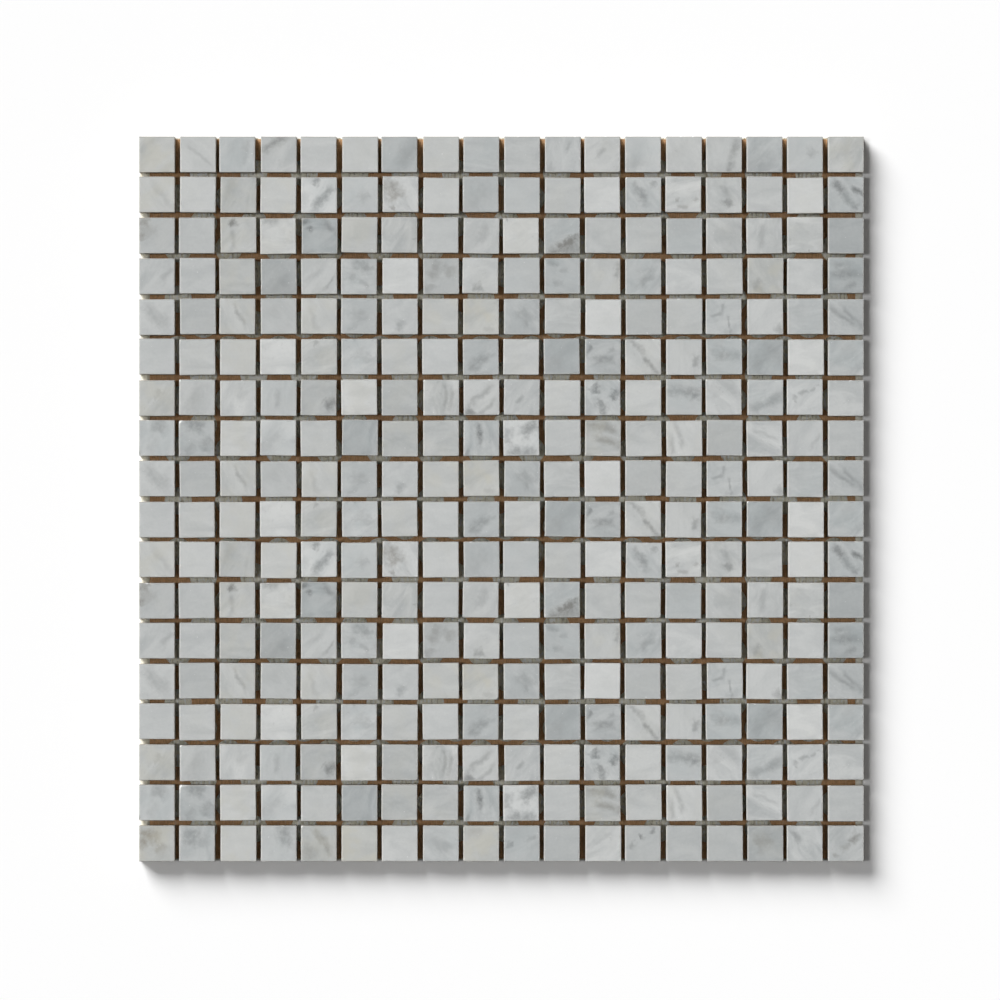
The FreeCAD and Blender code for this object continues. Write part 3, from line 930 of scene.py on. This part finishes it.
# How high the paper bulges, and how quickly that varies along a joint.
PAPER_BULGE = 0.16
BULGE_NOISE = 0.13


def hole_centres():
    """Centres of the round holes: two square lattices, each half a step from the other."""
    centres = []
    for across, up in ((HOLES_ACROSS - 1, HOLES_UP), (HOLES_ACROSS, HOLES_UP - 1)):
        for i in range(across):
            for j in range(up):
                step = Vector((i - (across - 1) / 2, j - (up - 1) / 2))
                centres.append(PATTERN_CENTRE + step * HOLE_STEP)
    return centres


def to_nearest(places, centres):
    """Distance from each place to the nearest centre."""
    return np.min([np.hypot(*(places - np.array(centre)).T) for centre in centres], axis=0)


def to_joint(value):
    """Distance from a place to the middle of the nearest joint."""
    return abs(value - round(value / CHIP_STEP) * CHIP_STEP)


def paper_rise(x, y):
    """How far the paper bulges up into the joints, where no chip holds it flat."""
    share = min(to_joint(x), to_joint(y)) / (JOINT_WIDTH / 2)
    wave = 0.6 + 0.4 * noise.noise(Vector((x * BULGE_NOISE, y * BULGE_NOISE, 3.0)))
    return PAPER_BULGE * wave * max(0.0, 1.0 - share ** 2)


def circle(centre, radius, sides):
    """Places round a centre, in order."""
    angles = [math.tau * (n + 0.5) / sides for n in range(sides)]
    return [centre + Vector((math.cos(angle), math.sin(angle))) * radius for angle in angles]


def joint_points(centres):
    """Places along the joints where the paper has mesh lines, outside its holes."""
    low, high = PAPER_LOW.x + JOINT_POINT_INSET, PAPER_HIGH.x - JOINT_POINT_INSET
    steps = np.linspace(low, high, int((high - low) / JOINT_POINT_STEP))
    joints = [number * CHIP_STEP for number in range(1 - CHIPS_IN_ROW // 2, CHIPS_IN_ROW // 2)]
    lines = np.array([joint + line * JOINT_WIDTH / 2 for joint in joints for line in JOINT_LINES])
    along, across = (grid.ravel() for grid in np.meshgrid(steps, lines))
    places = np.concatenate([np.column_stack([along, across]), np.column_stack([across, along])])
    places = np.unique(np.round(places, 3), axis=0)
    clear = to_nearest(places, centres) > HOLE_RADIUS + HOLE_CLEARANCE
    return [Vector(place) for place in places[clear]]


def flat_web(centres):
    """The web's outline, holes and joint points joined into triangles, seen from above."""
    loops = [[Vector((PAPER_LOW.x, PAPER_LOW.y)), Vector((PAPER_HIGH.x, PAPER_LOW.y)),
              Vector((PAPER_HIGH.x, PAPER_HIGH.y)), Vector((PAPER_LOW.x, PAPER_HIGH.y))]]
    loops += [circle(centre, HOLE_RADIUS, HOLE_SIDES) for centre in centres]
    points, edges = [], []
    for loop in loops:
        start = len(points)
        points += loop
        edges += [(start + n, start + (n + 1) % len(loop)) for n in range(len(loop))]
    points += joint_points(centres)
    spots, _, triangles, *_ = delaunay_2d_cdt(points, edges, [], 0, TRIANGLE_TOLERANCE)
    spots = np.array(spots)
    middles = spots[np.array(triangles)].mean(axis=1)
    hole_reach = HOLE_RADIUS * math.cos(math.pi / HOLE_SIDES) - HOLE_TOLERANCE
    on_paper = to_nearest(middles, centres) > hole_reach
    return spots, [tuple(corners) for corners, keep in zip(triangles, on_paper) if keep]


def make_paper(material):
    """The web with its round holes as one closed mesh: two faces and the cut edges."""
    spots, triangles = flat_web(hole_centres())
    rise = np.array([paper_rise(x, y) for x, y in spots])
    places, faces = slab(spots, triangles, PAPER_LOW.z + rise, PAPER_HIGH.z + rise)
    glued = np.repeat([0.0, 1.0], len(spots))
    paper = new_object("perforated_paper", places, faces, {"glued": glued}, material, smooth=False)
    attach(paper, "root")
    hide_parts("backing_paper")


# The glue film: its heights, its gap to the paper, the lines and rows of its mesh in a hole, and
# its ridges, which are fine across the sheet and long up it.
FILM_LOW, FILM_HIGH = 0.10, 0.17
FILM_GAP = 0.03
FILM_END_ANGLE = 0.12
FILM_LINES = 21
FILM_ROWS = 4
RIDGE_HEIGHT = 0.07
RIDGE_NOISE = (1.3, 0.06)
RIDGE_SEED = 5

# The strips of glue past the web's edges: their mesh, how far they stop short of the sheet's own edge and
# how that varies, where they end, and how pale the left, right, lower and upper one are, which is painted
# light on the left and right strips and painted shade on the lower and upper ones.
EDGE_FILM_LINES = 240
EDGE_FILM_ROWS = 4
EDGE_RETREAT = 0.14
EDGE_WAVE = 0.1
EDGE_NOISE = 0.21
EDGE_END_INSET = 0.2
EDGE_PAINTED_LIGHT = (1.0, 1.0, 0.0, 0.0)


def hole_film():
    """The film in a hole about the origin, seen from above, in lines along the sheet's height."""
    radius = HOLE_RADIUS - FILM_GAP
    lines = -radius * np.cos(np.linspace(FILM_END_ANGLE, math.pi - FILM_END_ANGLE, FILM_LINES))
    ends = np.sqrt(radius ** 2 - lines ** 2)
    shares = np.linspace(-1, 1, FILM_ROWS)
    spots = np.array([(x, share * end) for x, end in zip(lines, ends) for share in shares])
    return spots, grid_faces(FILM_LINES, FILM_ROWS)


def hole_films():
    """The film in every hole, with ridges drawn along the sheet's height."""
    disc, faces = hole_film()
    films = []
    for centre in hole_centres():
        spots = disc + np.array(centre)
        ridges = smooth_noise(np.column_stack([spots * RIDGE_NOISE, spots[:, 0] * 0]), RIDGE_SEED)
        height = FILM_HIGH + RIDGE_HEIGHT * np.clip(ridges * 1.5, -0.6, 1.0)
        films.append(slab(spots, faces, FILM_LOW, height))
    return films


def edge_film(inner, outer, low, high, seed):
    """Glue that ran past one edge of the web, out towards the sides of the outer chips."""
    lines = np.linspace(low, high, EDGE_FILM_LINES)
    waves = smooth_noise(np.column_stack([lines * EDGE_NOISE, lines * 0, lines * 0]), seed)
    ends = outer - math.copysign(1, outer) * (EDGE_RETREAT + EDGE_WAVE * waves)
    shares = np.linspace(0, 1, EDGE_FILM_ROWS)
    spots = [(inner + share * (end - inner), line)
             for line, end in zip(lines, ends) for share in shares]
    faces = grid_faces(EDGE_FILM_LINES, EDGE_FILM_ROWS)
    return np.array(spots), flipped(faces) if outer > 0 else faces


def edge_films():
    """The four strips of glue round the web: left, right, below and above."""
    reach = SHEET_HALF - EDGE_END_INSET
    strips = [edge_film(PAPER_LOW.x - FILM_GAP, -SHEET_HALF, -reach, reach, 7),
              edge_film(PAPER_HIGH.x + FILM_GAP, SHEET_HALF, -reach, reach, 9)]
    low, high = PAPER_LOW.x + FILM_GAP, PAPER_HIGH.x - FILM_GAP
    for inner, outer in ((PAPER_LOW.y - FILM_GAP, -SHEET_HALF), (PAPER_HIGH.y + FILM_GAP, SHEET_HALF)):
        spots, faces = edge_film(inner, outer, low, high, 11 + outer / SHEET_HALF)
        strips.append((spots[:, ::-1], flipped(faces)))
    return [slab(spots, faces, FILM_LOW, FILM_HIGH) for spots, faces in strips]


def make_glue_film(material):
    """All the glue as one mesh: the skin in the web's holes and the strips round the web."""
    in_holes, at_edges = hole_films(), edge_films()
    films = in_holes + at_edges
    # The strips' painted light and shade: the left and right ones paler, the lower and upper ones darker.
    painted_light = (0.0,) * len(in_holes) + EDGE_PAINTED_LIGHT
    outside = np.concatenate([np.full(len(places), pale) for (places, _), pale in zip(films, painted_light)])
    film = new_object("glue_film", *join(films), {"outside": outside}, material)
    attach(film, "root")


# Floor, light and camera

FLOOR_HALF = 6000.0
FLOOR_DROP = 0.02


def make_floor():
    """A wide plain floor, a hair below the sheet."""
    signs = ((-1, -1), (1, -1), (1, 1), (-1, 1))
    corners = [(x * FLOOR_HALF, y * FLOOR_HALF, -FLOOR_DROP) for x, y in signs]
    floor = new_object("floor", corners, [(0, 1, 2, 3)], {}, make_floor_material(), smooth=False)


# Each lamp's share of the light on the polished faces, and then in degrees its height above the
# sheet, its turn from the rows and how wide it looks. The first is almost in line with the rows.
LAMPS = {
    "left": (0.175, 70.0, 3.0, 8.0),
    "upper_left": (0.745, 31.0, 52.0, 36.0),
}
SKY_LEVEL = 0.08
CAMERA_CLIP_END = 20.0


def make_lamp(name, share, elevation, azimuth, width):
    """A far soft lamp that gives level faces its share of the light."""
    lamp = bpy.data.lights.new(name, "SUN")
    elevation, azimuth = math.radians(elevation), math.radians(azimuth)
    lamp.angle = math.radians(width)
    lamp.energy = math.pi * share / math.sin(elevation)
    holder = bpy.data.objects.new(name, lamp)
    level = math.cos(elevation)
    beam = Vector((level * math.cos(azimuth), -level * math.sin(azimuth), -math.sin(elevation)))
    holder.rotation_euler = beam.to_track_quat("-Z", "Y").to_euler()
    bpy.context.scene.collection.objects.link(holder)


def make_sky():
    """An even white sky, which the camera sees as plain white."""
    world = bpy.data.worlds.new("sky")
    bpy.context.scene.world = world
    world.use_nodes = True
    nodes, links = world.node_tree.nodes, world.node_tree.links
    background = nodes["Background"]
    background.inputs["Color"].default_value = (1.0, 1.0, 1.0, 1.0)
    path = nodes.new("ShaderNodeLightPath")
    level = nodes.new("ShaderNodeMapRange")
    level.inputs["To Min"].default_value = SKY_LEVEL
    level.inputs["To Max"].default_value = 1.0
    links.new(path.outputs["Is Camera Ray"], level.inputs["Value"])
    links.new(level.outputs[0], background.inputs["Strength"])


def make_camera():
    """Straight above the sheet with a long lens, framed as the photograph is."""
    frame_width = PHOTO_PIXELS * CHIP_STEP / PIXELS_PER_STEP
    pixel = frame_width / PHOTO_PIXELS
    camera = bpy.data.cameras.new("camera")
    camera.sensor_width = SENSOR_WIDTH
    camera.lens = SENSOR_WIDTH * CAMERA_HEIGHT / frame_width
    camera.clip_end = CAMERA_CLIP_END
    middle = PHOTO_PIXELS / 2
    x = (middle - SHEET_CENTRE_PIXEL[0]) * pixel
    y = (SHEET_CENTRE_PIXEL[1] - middle) * pixel
    holder = bpy.data.objects.new("camera", camera)
    holder.location = (x * MM, y * MM, cad_box[1][2] + CAMERA_HEIGHT * MM)
    bpy.context.scene.collection.objects.link(holder)
    bpy.context.scene.camera = holder


make_camera()
make_sky()
for name, values in LAMPS.items():
    make_lamp(name, *values)
make_floor()
marble = make_marble()
for number, node in enumerate(ROW_NODES, start=1):
    make_row(number, node, marble)
make_paper(make_kraft_paper())
make_glue_film(make_glue())
bpy.context.scene.view_settings.view_transform = "Standard"
